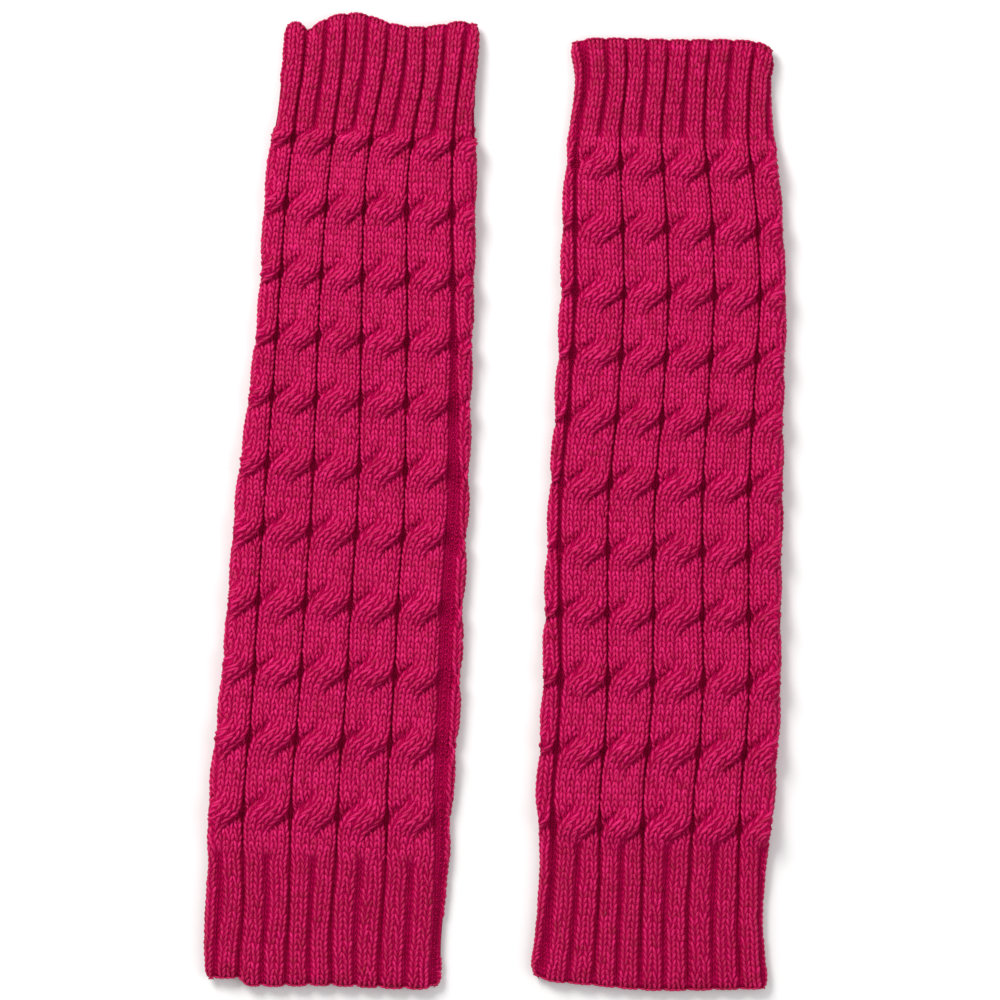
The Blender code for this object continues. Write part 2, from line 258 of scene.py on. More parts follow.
def smooth_step(low, high, value):
    s = np.clip((value - low) / (high - low), 0.0, 1.0)
    return s * s * (3 - 2 * s)


def section_at(leg, station):
    places = [row.station for row in leg.sections]
    return [smooth_read(places, column, station) for column in list(zip(*leg.sections))[1:]]


def crossing_rows(leg):
    return [leg.first_row + ROWS_PER_CROSSING * k for k in range(CROSSINGS)]


def station_of(leg, row):
    rows = [0, leg.seam_rows[0], *crossing_rows(leg), leg.seam_rows[1], leg.end_row]
    past = np.minimum(row, 0) + np.maximum(row - leg.end_row, 0)
    row_height = (leg.stations[-1] - leg.stations[-2]) / (leg.end_row - leg.seam_rows[1])
    return np.interp(row, rows, leg.stations) + past * row_height


def zone_of(leg, row):
    return np.clip(np.round((row - leg.first_row) / ROWS_PER_CROSSING), 0, CROSSINGS - 1).astype(int)


def phase_of(leg, cable, row, zone):
    """Place in the crossing repeat, 0 at the crossing, with a little drift from cable to cable."""
    drift = CROSSING_DRIFT * np.sin(2.3 * cable + 1.7 * zone + leg.seam_valley)
    return (row - leg.first_row) / ROWS_PER_CROSSING - zone + drift


def near_crossing(phase, reach=CROSSING_REACH):
    return np.exp(-((phase / reach) ** 2))


def ribbing(leg, row):
    """1 in the rib cuffs, 0 in the cabled leg, blending over the rows where the stitch changes."""
    low, high = leg.seam_rows
    bottom = 1 - smooth_step(low - RIB_BLEND_ROWS, low + RIB_BLEND_ROWS, row)
    top = smooth_step(high - RIB_BLEND_ROWS, high + RIB_BLEND_ROWS, row)
    return bottom + top


def swing(phase):
    """0 before a crossing and 1 after it."""
    return 0.5 + 0.5 * np.tanh(phase / CROSSING_SWING)


def strand_place(across, phase):
    """Place in the cable, -1 to 1, of the strand on top; its right side swings over first."""
    return -0.5 + 0.5 * across + swing(phase + LANE_DELAY * across)


def strand_across(u, phase):
    """The way back: which part of the strand on top lies at u, where -1 and 1 are its edges."""
    left, right = strand_place(-1, phase), strand_place(1, phase)
    return 2 * (u - left) / (right - left) - 1


def dome(off, squareness):
    return np.sqrt(np.clip(1 - np.abs(off) ** squareness, 0.0, 1.0))


def strand_height(u, across, phase, calm, top):
    """Height over the valley of a strand alone, on top of a crossing or beneath it."""
    near = np.where(top, near_crossing(phase), near_crossing(phase, UNDER_REACH))
    covered = smooth_step(1 + DIVE_GAP, 1.0, np.abs(strand_across(u, phase)))
    block = BLOCK_RISE * dome(u, BLOCK_SQUARENESS)
    over = (BLOCK_RISE + STRAND_RISE) * dome(across, STRAND_SQUARENESS)
    under = (BLOCK_RISE - UNDER_DIVE * covered) * dome(across, UNDER_SQUARENESS)
    mixed = near * (1 - calm)
    return ((1 - mixed) * block + mixed * np.where(top, over, under)) * (1 - FOLD_PINCH * near * calm)


def cable_height(u, phase, calm):
    over = strand_height(u, strand_across(u, phase), phase, calm, True)
    under = strand_height(u, -strand_across(-u, phase), phase, calm, False)
    return np.maximum(over, under)


def cable_edges(phase):
    """Left and right edge of a cable, in cables from its middle; the left one pinches in at each crossing."""
    return -BLOCK_HALF + PINCH * near_crossing(phase), BLOCK_HALF


def rib_height(place):
    """Height of the round ribs over their valleys, two ribs to each cable."""
    return RIB_RISE * dome((np.mod(place, 0.5) - 0.25) / RIB_HALF, RIB_SQUARENESS)


def rolled(leg, row):
    """1 along the leg warmer, falling where the edge rolls in at its ends."""
    from_end = np.minimum(row, leg.end_row - row)
    return ROLLED_SHARE + (1 - ROLLED_SHARE) * dome(np.clip(1 - from_end / ROLL_ROWS, 0.0, 1.0), 2)


def rib_wall(leg, place, row):
    """Height of the ribbed surface over the plain inside; the edge row closes the valleys at the ends."""
    closing = 0.0
    for end, from_end in ((leg.bottom_end, row), (leg.top_end, leg.end_row - row)):
        closing = closing + end.close * smooth_step(*CLOSE_ROWS, from_end)
    return RIB_VALLEY_WALL + rib_height(place) * (1 - closing) + CLOSED_SHARE * RIB_RISE * closing


def wall_at(leg, place, row):
    """Height of the knit's outer surface over the plain inside, in mm."""
    cable = np.floor(place)
    phase = phase_of(leg, cable, row, zone_of(leg, row))
    left, right = cable_edges(phase)
    u = (place - cable - 0.5 - (left + right) / 2) / ((right - left) / 2)
    calm = smooth_step(CALM_FROM, CALM_TO, fold_at(leg, place, row).angle)
    cabled = VALLEY_WALL + cable_height(u, phase, calm)
    ribbed = rib_wall(leg, place, row)
    share = ribbing(leg, row)
    return (cabled * (1 - share) + ribbed * share) * rolled(leg, row)


Fold = namedtuple("Fold", "walk side past flat_half angle centre width station")


def stray_of(leg, place, station):
    """How far the pattern strays sideways, in cables, between the two valleys beside a place."""
    columns = list(zip(*leg.strays))
    total = 0.0
    for valley, values in enumerate(columns[1:]):
        weight = np.clip(1 - np.abs(np.clip(place + 2, 0, 4) - valley), 0.0, 1.0)
        total = total + weight * smooth_read(columns[0], values, station)
    return total


def rib_spread(leg, place, row):
    """How far a place in the cuffs strays sideways, in cables, so that the ribs of a cable spread."""
    low, high = leg.seam_rows
    into_cuff = np.maximum(low - row, row - high)
    start, full, end = RIB_SPREAD_ROWS
    share = smooth_step(start, full, into_cuff) * smooth_step(end, full, into_cuff)
    return -RIB_SPREAD * share * np.sin(2 * math.pi * place)


def fold_at(leg, place, row):
    """Where a place on the knit comes to lie on the flattened tube."""
    station = station_of(leg, row)
    centre, width, turn, strip = section_at(leg, station)
    flat_half = width / 2 - FOLD_REACH
    pitch = (4 * flat_half + 2 * math.pi * FOLD_RADIUS - strip) / CABLES_ROUND
    seam_side = math.copysign(1.0, leg.seam_valley)
    seam_past = place * seam_side - abs(leg.seam_valley)
    spread = seam_side * np.clip(0.5 + seam_past / (2 * SEAM_VALLEY_HALF), 0.0, 1.0)
    stray = stray_of(leg, place, station) + rib_spread(leg, place, row)
    walk = turn + (place + stray) * pitch + spread * strip
    past = np.abs(walk) - flat_half
    angle = np.clip(past / FOLD_RADIUS, 0.0, math.pi)
    return Fold(walk, np.sign(walk), past, flat_half, angle, centre, width, station)


def tube_points(leg, place, row, wall):
    """Points of the knit in metres, laid round the side folds of the flattened tube."""
    place, row, wall = np.broadcast_arrays(place, row, wall)
    fold = fold_at(leg, place, row)
    back_wall = np.minimum(wall * BACK_PRESS, BACK_WALL - FLOOR_CLEARANCE)
    radius = SLIT / 2 + np.where(fold.angle < math.pi / 2, wall, back_wall)
    x = fold.side * (fold.flat_half + (SLIT / 2 + wall) * np.sin(fold.angle))
    x = np.where(fold.past <= 0, fold.walk, x)
    beneath = fold.side * (fold.flat_half - (fold.past - math.pi * FOLD_RADIUS))
    x = np.where(fold.angle >= math.pi, beneath, x)
    z = BACK_WALL + SLIT / 2 + radius * np.cos(fold.angle)
    rise = edge_rise(leg, place, row, x / (fold.width / 2))
    y = fold.station - leg.lean * x + rise
    return np.stack([fold.centre + x + PAIR_SHIFT_X, y + PAIR_SHIFT_Y, z], -1) * MM


def edge_rise(leg, place, row, across):
    """How far the ends' waves and the ribs' round ends move a point along the leg, in mm."""
    rib = rib_height(place) / RIB_RISE - 0.5
    rise = 0.0
    ends = ((leg.bottom_edge, leg.bottom_end, 0, -1.0), (leg.top_edge, leg.top_end, leg.end_row, 1.0))
    for edge, end, end_row, sign in ends:
        wave = smooth_read([e.across for e in edge], [e.rise for e in edge], across)
        near_end = smooth_step(EDGE_WAVE_ROWS, 0, np.abs(row - end_row))
        lobe_end = smooth_step(LOBE_ROWS, 0, np.abs(row - end_row))
        rise = rise + wave * near_end + sign * (end.lobe * rib - end.inset) * lobe_end
    return rise


def make_object(name, points, faces, smooth=True):
    """A mesh object from arrays of points and of faces, all with the same number of corners."""
    data = bpy.data.meshes.new(name)
    corners = faces.shape[1]
    data.vertices.add(len(points))
    data.vertices.foreach_set("co", points.astype(np.float32).ravel())
    data.loops.add(faces.size)
    data.loops.foreach_set("vertex_index", faces.astype(np.int32).ravel())
    data.polygons.add(len(faces))
    data.polygons.foreach_set("loop_start", np.arange(0, faces.size, corners, dtype=np.int32))
    data.update(calc_edges=True)
    data.validate()
    if smooth:
        data.shade_smooth()
    piece = bpy.data.objects.new(name, data)
    bpy.context.collection.objects.link(piece)
    return piece


def add_uv(piece, name, corner_uv):
    layer = piece.data.uv_layers.new(name=name)
    layer.data.foreach_set("uv", corner_uv.astype(np.float32).ravel())


def add_tone(piece, tones):
    attribute = piece.data.attributes.new("tone", "FLOAT", "POINT")
    attribute.data.foreach_set("value", tones.astype(np.float32))


# Knitted skin behind the stitches

# The skin's columns in one cable, closer together beside the valleys
SKIN_PLACES = (
    0.0, 0.03, 0.065, 0.12, 0.18, 0.25, 0.32, 0.38, 0.43, 0.47,
    0.53, 0.57, 0.62, 0.68, 0.75, 0.82, 0.88, 0.935, 0.97,
)
SKIN_COLUMNS = CABLES_ROUND * len(SKIN_PLACES)
THINNEST = 0.4
# Painted shade: how much darker the skin is painted down in the valleys, and the walls between which it fades
# out, in mm
VALLEY_PAINTED_SHADE = -0.05
TONE_WALLS = (1.2, 2.6)
# Width of a wale of the skin's relief, in mm, and rows between the rings of the plain inside
KNIT_WALE = 2.4
INSIDE_STEP = 8


def ring_grid(count, columns):
    """Quads between closed rings of points that follow each other."""
    ring = np.arange(columns)
    step = np.arange(count - 1)[:, None] * columns
    here, beside = step + ring, step + (ring + 1) % columns
    return np.stack([here, beside, beside + columns, here + columns], -1).reshape(-1, 4)


def make_skin(leg):
    """A closed thin tube: the knit's form outside, sunk a little behind the stitches, and a plain inside."""
    places = (np.arange(-5, 5)[:, None] + np.array(SKIN_PLACES)).ravel()
    rows = np.linspace(0, leg.end_row, leg.end_row + 1)
    inside_rows = np.append(rows[::-INSIDE_STEP], 0.0)
    grid_place, grid_row = np.meshgrid(places, rows)
    wall = wall_at(leg, grid_place, grid_row)
    fold = fold_at(leg, grid_place, grid_row)
    stitched = fold.angle < FOLD_LIMIT
    # Painted shade: the skin is painted darker where its wall is low, down in the valleys
    raised = smooth_step(*TONE_WALLS, wall)
    tone = np.where(stitched, VALLEY_PAINTED_SHADE * (1 - raised), 0.0)
    wall = np.where(stitched, np.maximum(wall - BACKING, THINNEST), wall)
    outside = tube_points(leg, grid_place, grid_row, wall)
    inside_place, inside_row = np.meshgrid(places, inside_rows)
    inside = tube_points(leg, inside_place, inside_row, 0.0)
    points = np.concatenate([outside, inside]).reshape(-1, 3)
    rings = len(rows) + len(inside_rows)
    faces = ring_grid(rings, SKIN_COLUMNS)
    ring = np.arange(SKIN_COLUMNS)
    beside = (ring + 1) % SKIN_COLUMNS
    last = (rings - 1) * SKIN_COLUMNS
    closing = np.stack([last + ring, last + beside, beside, ring], -1)
    faces = np.concatenate([faces, closing])
    piece = make_object(f"{leg.name}_knit_skin", points, faces)
    add_tone(piece, np.concatenate([tone, np.zeros(inside_place.shape)]).ravel())
    all_rows = np.concatenate([rows, inside_rows])
    column = faces % SKIN_COLUMNS
    wrap = (column.max(1, keepdims=True) == SKIN_COLUMNS - 1) & (column == 0)
    walk = np.concatenate([fold.walk, fold_at(leg, inside_place, inside_row).walk]).ravel()
    round_it = 4 * fold.flat_half.mean() + 2 * math.pi * FOLD_RADIUS
    u = (walk[faces] + np.where(wrap, round_it, 0.0)) / KNIT_WALE
    add_uv(piece, "Knit", np.stack([u, all_rows[faces // SKIN_COLUMNS]], -1))
    return piece


# Stitches of yarn

# Spine of a stitch's leg: rows along, share of half a wale across, mm above the wall, and share of its radius
LEG_ROWS = np.array([-0.85, -0.42, 0.02, 0.46, 0.85])
LEG_ACROSS = np.array([0.24, 0.36, 0.54, 0.72, 0.84])
LEG_SINK = np.array([-0.80, -0.12, 0.06, -0.12, -0.80])
LEG_TAPER = np.array([0.12, 0.80, 1.0, 0.80, 0.12])
LEG_SIDES = 6
RIB_WALE_HALF = 0.086
# What of the strand beneath a crossing is hidden: share of the top strand's half width, and reach along
HIDDEN_SHARE = 0.80
HIDDEN_REACH = 0.26
# From this share of ribbing on, a cable's two middle wales are purl
MIDDLE_PURL_FROM = 0.4
# How much one stitch differs from the next: in place, rows, width, height, size and tone
SHIFT_SPREAD = 0.06
ROW_SPREAD = 0.03
WIDTH_SPREAD = 0.08
HEIGHT_SPREAD = 0.05
SIZE_SPREAD = 0.08
STITCH_TONE = 0.52
STITCH_TONE_SPREAD = 0.08
LEG_TONE_SPREAD = 0.06
# Painted shade: how much darker the stitches of the rib cuffs are painted
RIB_PAINTED_SHADE = 0.13
# Places of a cable's six knit wales in the ribbing, in cables
RIB_SLOTS = (0.25 - RIB_LANE, 0.25 + RIB_LANE, 0.47, 0.53, 0.75 - RIB_LANE, 0.75 + RIB_LANE)


def grain_template(rings, sides):
    """Triangles of a closed grain of yarn, from tip to tip through its rings, and their UVs."""
    faces, corners = [], []
    last_tip = 1 + rings * sides

    def index(ring, side):
        return 1 + ring * sides + side % sides

    for side in range(sides):
        faces.append((0, index(0, side + 1), index(0, side)))
        corners.append(((side + 0.5, 0), (side + 1, 1), (side, 1)))
        for ring in range(rings - 1):
            a, b = index(ring, side), index(ring, side + 1)
            c, d = index(ring + 1, side + 1), index(ring + 1, side)
            faces += [(a, b, c), (a, c, d)]
            near, far = ring + 1, ring + 2
            corners.append(((side, near), (side + 1, near), (side + 1, far)))
            corners.append(((side, near), (side + 1, far), (side, far)))
        faces.append((last_tip, index(rings - 1, side), index(rings - 1, side + 1)))
        corners.append(((side + 0.5, rings + 1), (side, rings), (side + 1, rings)))
    uv = np.array(corners, float)
    uv[..., 0] /= sides
    uv[..., 1] /= rings + 1
    return np.array(faces), uv


def make_grains(name, spine, outward, radius, depth, sides, tones, draws):
    """One piece of many grains of yarn, each round its own short spine of points."""
    count, length = spine.shape[:2]
    along = np.gradient(spine, axis=1)
    along /= np.linalg.norm(along, axis=2, keepdims=True)
    side = np.cross(along, outward)
    side /= np.maximum(np.linalg.norm(side, axis=2, keepdims=True), 1e-9)
    up = np.cross(side, along)
    turn = 2 * math.pi * np.arange(sides) / sides
    ring = side[:, 1:-1, None] * (np.cos(turn)[:, None] * radius[:, 1:-1, None, None])
    ring = ring + up[:, 1:-1, None] * (np.sin(turn)[:, None] * depth[:, 1:-1, None, None])
    ring = ring + spine[:, 1:-1, None]
    points = np.concatenate([spine[:, :1], ring.reshape(count, -1, 3), spine[:, -1:]], 1)
    faces, uv = grain_template(length - 2, sides)
    per_grain = points.shape[1]
    all_faces = (faces[None] + np.arange(count)[:, None, None] * per_grain).reshape(-1, 3)
    piece = make_object(name, points.reshape(-1, 3), all_faces)
    shift = np.stack([np.zeros(count), draws.uniform(0, 1, count)], -1)
    add_uv(piece, "Yarn", (uv[None] + shift[:, None, None]).reshape(-1, 2))
    add_tone(piece, np.repeat(tones, per_grain))
    return piece


def outward_of(leg, place, row, wall):
    """Unit directions out of the knit, from the plain inside to its outer surface."""
    out = tube_points(leg, place, row, wall) - tube_points(leg, place, row, wall - 0.5)
    return out / np.maximum(np.linalg.norm(out, axis=-1, keepdims=True), 1e-9)


def wale_path(leg, cable, top, lane, hand, zone, row):
    """Place, height and slot of a knit wale at a row. Lanes -1, 0 and 1 are the wales of a strand."""
    phase = phase_of(leg, cable, row, zone)
    across = (2 * lane + hand) / 3
    side = np.where(top, 1, -1)
    u = side * strand_place(side * across, phase)
    left, right = cable_edges(phase)
    cable_place = cable + 0.5 + (left + right) / 2 + u * (right - left) / 2
    calm = smooth_step(CALM_FROM, CALM_TO, fold_at(leg, cable_place, row).angle)
    cable_wall = VALLEY_WALL + strand_height(u, across, phase, calm, top)
    on_left = top == (phase < 0)
    slot = lane + 1 + np.where(on_left, 0, 3)
    rib_place = cable + np.array(RIB_SLOTS)[slot.astype(int)] + hand * RIB_WALE_HALF
    share = ribbing(leg, row)
    place = cable_place * (1 - share) + rib_place * share
    wall = (cable_wall * (1 - share) + rib_wall(leg, rib_place, row) * share) * rolled(leg, row)
    covered = np.abs(strand_across(u, phase)) < HIDDEN_SHARE
    hidden = ~top & covered & (np.abs(phase) < HIDDEN_REACH) & (share < 0.5)
    return place, wall, slot, hidden


def knit_stitches(leg):
    """Every knit stitch that shows: its cable, strand, lane, crossing zone and row."""
    cables, over, lanes, rows = np.meshgrid(
        np.arange(-4, 4), [True, False], [-1, 0, 1], np.arange(leg.end_row) + 0.5, indexing="ij"
    )
    cables, over, lanes, rows = (a.ravel() for a in (cables, over, lanes, rows))
    zones = zone_of(leg, rows)
    place, _, slot, hidden = wale_path(leg, cables, over, lanes, 0.0, zones, rows)
    angle = fold_at(leg, place, rows).angle
    in_rib = ribbing(leg, rows) > MIDDLE_PURL_FROM
    middle_wale = (slot == 2) | (slot == 3)
    keep = ~hidden & (angle < FOLD_LIMIT) & ~(in_rib & middle_wale)
    return [a[keep] for a in (cables, over, lanes, zones, rows)]


def make_stitches(leg, name, chosen, draws):
    """Two legs of yarn for each chosen stitch, a V that points down the leg warmer."""
    cables, over, lanes, zones, rows = (np.repeat(a, 2)[:, None] for a in chosen)
    count = len(rows)
    hand = np.tile([-1.0, 1.0], count // 2)[:, None]
    shift = np.repeat(draws.normal(0, SHIFT_SPREAD, count // 2), 2)[:, None]
    leg_rows = rows + LEG_ROWS + shift + draws.normal(0, ROW_SPREAD, (count, 1))
    across = hand * LEG_ACROSS * draws.normal(1, WIDTH_SPREAD, (count, 1)) + 2 * shift
    place, wall = wale_path(leg, cables, over, lanes, across, zones, leg_rows)[:2]
    wall = wall - LEG_DEPTH + LEG_SINK + draws.normal(0, HEIGHT_SPREAD, (count, 1))
    spine = tube_points(leg, place, leg_rows, wall)
    outward = outward_of(leg, place, leg_rows, wall)
    radius = LEG_RADIUS * draws.normal(1, SIZE_SPREAD, (count, 1)) * LEG_TAPER * MM
    depth = radius * LEG_DEPTH / LEG_RADIUS
    tones = np.repeat(draws.normal(STITCH_TONE, STITCH_TONE_SPREAD, count // 2), 2)
    # Painted shade: the rib cuffs' stitches are painted darker
    tones = tones + draws.normal(0, LEG_TONE_SPREAD, count) - RIB_PAINTED_SHADE * ribbing(leg, rows[:, 0])
    return make_grains(name, spine, outward, radius, depth, LEG_SIDES, tones, draws)


# Spine of a purl bar: share of its half length, and share of its radius
BUMP_ACROSS = np.array([-1.0, -0.45, 0.45, 1.0])
BUMP_TAPER = np.array([0.1, 1.0, 1.0, 0.1])
BUMP_SIDES = 5
# How far a bar's ends bend down the leg, in rows, and into the knit, in mm
BUMP_BEND = 0.22
BUMP_DROP = 0.35
BUMP_ROW_SPREAD = 0.10
BUMP_TONE_SPREAD = 0.08

# across: place in the valley; half: half length, both in cables; offset: in rows; sink: depth in mm; tone:
# below the knit stitches', painted shade of the valleys
Purl = namedtuple("Purl", "across half offset sink tone")
VALLEY_PURLS = (Purl(0.0, 0.032, 0.0, 0.3, 0.1),)
RIB_PURLS = (Purl(-0.022, 0.018, 0.25, 0.3, 0.1), Purl(0.022, 0.018, -0.25, 0.3, 0.1))
SEAM_PURLS = (
    Purl(-0.018, 0.0055, 0.0, 0.1, 0.35),
    Purl(0.0, 0.0055, 0.5, 0.1, 0.35),
    Purl(0.018, 0.0055, 0.0, 0.1, 0.35),
)


def purl_columns(leg, row):
    """Purl bars at a row, each moved to its place in its valley and to its own row."""
    ribbed = ribbing(leg, row) > 0.5
    valleys = np.arange(-6, 7) / 2 if ribbed else np.arange(-3, 4)
    columns = []
    for valley in valleys:
        purls = RIB_PURLS if ribbed else VALLEY_PURLS
        if valley == leg.seam_valley:
            purls = SEAM_PURLS
        columns += [purl._replace(across=valley + purl.across, offset=row + purl.offset) for purl in purls]
    return columns


def make_purls(leg, draws):
    """Small cross bars of yarn down the valleys between cables and between ribs."""
    bars = [bar for row in np.arange(leg.end_row) + 0.5 for bar in purl_columns(leg, row)]
    place, half, row, sink, tone = (np.array(column)[:, None] for column in zip(*bars))
    row = row + draws.normal(0, BUMP_ROW_SPREAD, row.shape) + BUMP_BEND * np.abs(BUMP_ACROSS)
    place = place + half * BUMP_ACROSS
    base = np.where(ribbing(leg, row) > 0.5, RIB_VALLEY_WALL, VALLEY_WALL) * rolled(leg, row)
    wall = base - sink - BUMP_DROP * np.abs(BUMP_ACROSS)
    keep = fold_at(leg, place, row).angle[:, 1] < FOLD_LIMIT
    spine = tube_points(leg, place[keep], row[keep], wall[keep])
    outward = outward_of(leg, place[keep], row[keep], wall[keep])
    count = len(spine)
    radius = BUMP_RADIUS * draws.normal(1, SIZE_SPREAD, (count, 1)) * BUMP_TAPER * MM
    # Painted shade: each bar keeps the dark tone of its valley, with a random spread
    tones = tone[keep][:, 0] + draws.normal(0, BUMP_TONE_SPREAD, count)
    return make_grains(f"{leg.name}_purl_bars", spine, outward, radius, radius, BUMP_SIDES, tones, draws)


# Spine of an edge chain's link: share of its half length, and share of its radius
EDGE_ALONG = np.array([-1.0, -0.5, 0.0, 0.5, 1.0])
EDGE_TAPER = np.array([0.15, 0.85, 1.0, 0.85, 0.15])
# Links: pitch, start and half length in cables; rows past the end, and from one tip to the middle
LINK_PITCH = 0.125
LINK_START = 0.06
LINK_HALF = 0.085
LINK_PAST = 0.05
LINK_SLANT = 0.10
# Height as a share of the wall, drop of the tips and radius, in mm, and tone
LINK_HEIGHT = 0.45
LINK_DROP = 0.25
LINK_RADIUS = 0.52
LINK_SIZE_SPREAD = 0.07
LINK_TONE = 0.35
LINK_TONE_SPREAD = 0.08


def make_edges(leg, draws):
    """Chains of yarn along the cast-on and bind-off edges."""
    spines, outs = [], []
    links = np.arange(-3.0, 3.0, LINK_PITCH)[:, None] + LINK_START
    for end_row, past in ((0, -LINK_PAST), (leg.end_row, LINK_PAST)):
        place = links + LINK_HALF * EDGE_ALONG
        row = end_row + past + LINK_SLANT * EDGE_ALONG * np.ones_like(place)
        wall = (RIB_VALLEY_WALL + rib_height(place)) * LINK_HEIGHT - LINK_DROP * np.abs(EDGE_ALONG)
        keep = fold_at(leg, place, row).angle[:, 2] < FOLD_LIMIT
        spines.append(tube_points(leg, place, row, wall)[keep])
        outs.append(outward_of(leg, place, row, wall)[keep])
    spine, outward = np.concatenate(spines), np.concatenate(outs)
    radius = LINK_RADIUS * draws.normal(1, LINK_SIZE_SPREAD, (len(spine), 1)) * EDGE_TAPER * MM
    tones = draws.normal(LINK_TONE, LINK_TONE_SPREAD, len(spine))
    return make_grains(f"{leg.name}_edge_chains", spine, outward, radius, radius, LEG_SIDES, tones, draws)


# Materials

YARN_SHADE = (0.23, 0.0, 0.022, 1)
YARN_DEEP = (0.38, 0.0005, 0.050, 1)
YARN_MAIN = (0.55, 0.0015, 0.096, 1)
YARN_LIGHT = (0.72, 0.0090, 0.165, 1)
YARN_STOPS = ((0.0, YARN_SHADE), (0.2, YARN_DEEP), (0.55, YARN_MAIN), (0.95, YARN_LIGHT))
FLOOR_STOPS = ((0.3, (0.86, 0.86, 0.865, 1)), (0.7, (0.89, 0.89, 0.89, 1)))
ROUGHNESS = 0.42
ROUGHNESS_SPREAD = 0.25
FLOOR_ROUGHNESS = 0.9
YARN_SPECULAR = 0.25
PURL_SPECULAR = 0.06
SKIN_SPECULAR = 0.05
# Scales of the noise, per metre: fibres that roughen, fibres that raise, mottled dye and the floor's clouds
FIBRE_SCALE = 2600.0
LOOSE_FIBRE_SCALE = 3200.0
MOTTLE_SCALE = 240.0
FLOOR_SCALE = 6.0
MOTTLE = 0.3
# Plies: turns along a leg and round it, and their share of the relief and of the tone, painted shade in the
# grooves between them
PLY_TURNS = 2.0
PLY_RELIEF = 0.30
PLY_PAINTED_SHADE = 0.05
# The skin's V shapes: their lean, and their share of the tone, painted lighter on the Vs with painted shade
# between them
V_LEAN = 1.3
V_PAINTED_SHADE = 0.35


def new_material(name):
    material = bpy.data.materials.new(name)
    material.use_nodes = True
    nodes = material.node_tree.nodes
    shader = nodes["Principled BSDF"]
    return material, nodes, material.node_tree.links, shader


def math_node(nodes, links, operation, *values):
    node = nodes.new("ShaderNodeMath")
    node.operation = operation
    for socket, value in zip(node.inputs, values):
        if isinstance(value, (int, float)):
            socket.default_value = value
        else:
            links.new(value, socket)
    return node.outputs[0]


def noise(nodes, links, scale, detail=3.0):
    coordinates = nodes.new("ShaderNodeTexCoord")
    texture = nodes.new("ShaderNodeTexNoise")
    texture.inputs["Scale"].default_value = scale
    texture.inputs["Detail"].default_value = detail
    links.new(coordinates.outputs["Object"], texture.inputs["Vector"])
    return texture.outputs["Fac"]


def colour_ramp(nodes, links, value, stops):
    ramp = nodes.new("ShaderNodeValToRGB")
    links.new(value, ramp.inputs["Fac"])
    elements = ramp.color_ramp.elements
    for element, (position, colour) in zip(elements, stops):
        element.position, element.color = position, colour
    for position, colour in stops[2:]:
        elements.new(position).color = colour
    return ramp.outputs["Color"]


def finish_yarn(nodes, links, shader, value, height, strength, distance, specular):
    """Colour from a value of 0 to 1, and fibre roughness and bump, shared by all the yarn."""
    links.new(colour_ramp(nodes, links, value, YARN_STOPS), shader.inputs["Base Color"])
    fibres = noise(nodes, links, FIBRE_SCALE, 2.0)
    roughness = math_node(nodes, links, "MULTIPLY_ADD", fibres, ROUGHNESS_SPREAD, ROUGHNESS)
    links.new(roughness, shader.inputs["Roughness"])
    shader.inputs["Specular IOR Level"].default_value = specular
    bump = nodes.new("ShaderNodeBump")
    bump.inputs["Strength"].default_value = strength
    bump.inputs["Distance"].default_value = distance
    links.new(height, bump.inputs["Height"])
    links.new(bump.outputs["Normal"], shader.inputs["Normal"])


def stitch_material(name, specular):
    """Plied acrylic yarn: twisted plies with painted shade in their grooves, loose fibres and a tone that
    changes from stitch to stitch, which also carries the painted shade of the rib cuffs and purl bars.
    """
    material, nodes, links, shader = new_material(name)
    uv = nodes.new("ShaderNodeUVMap")
    uv.uv_map = "Yarn"
    split = nodes.new("ShaderNodeSeparateXYZ")
    links.new(uv.outputs["UV"], split.inputs[0])
    round_it = math_node(nodes, links, "MULTIPLY", split.outputs["X"], PLY_TURNS)
    twist = math_node(nodes, links, "MULTIPLY_ADD", split.outputs["Y"], PLY_TURNS, round_it)
    plies = math_node(nodes, links, "SINE", math_node(nodes, links, "MULTIPLY", twist, 2 * math.pi))
    fibres = noise(nodes, links, LOOSE_FIBRE_SCALE, 2.0)
    height = math_node(nodes, links, "MULTIPLY_ADD", plies, PLY_RELIEF, fibres)
    tone = nodes.new("ShaderNodeAttribute")
    tone.attribute_name = "tone"
    mottle = math_node(nodes, links, "MULTIPLY_ADD", noise(nodes, links, MOTTLE_SCALE), MOTTLE, -MOTTLE / 2)
    value = math_node(nodes, links, "ADD", tone.outputs["Fac"], mottle)
    # Painted shade: darker in the grooves between the plies, lighter on their crests
    value = math_node(nodes, links, "MULTIPLY_ADD", plies, PLY_PAINTED_SHADE, value)
    finish_yarn(nodes, links, shader, value, height, 0.6, 0.00025, specular)
    return material


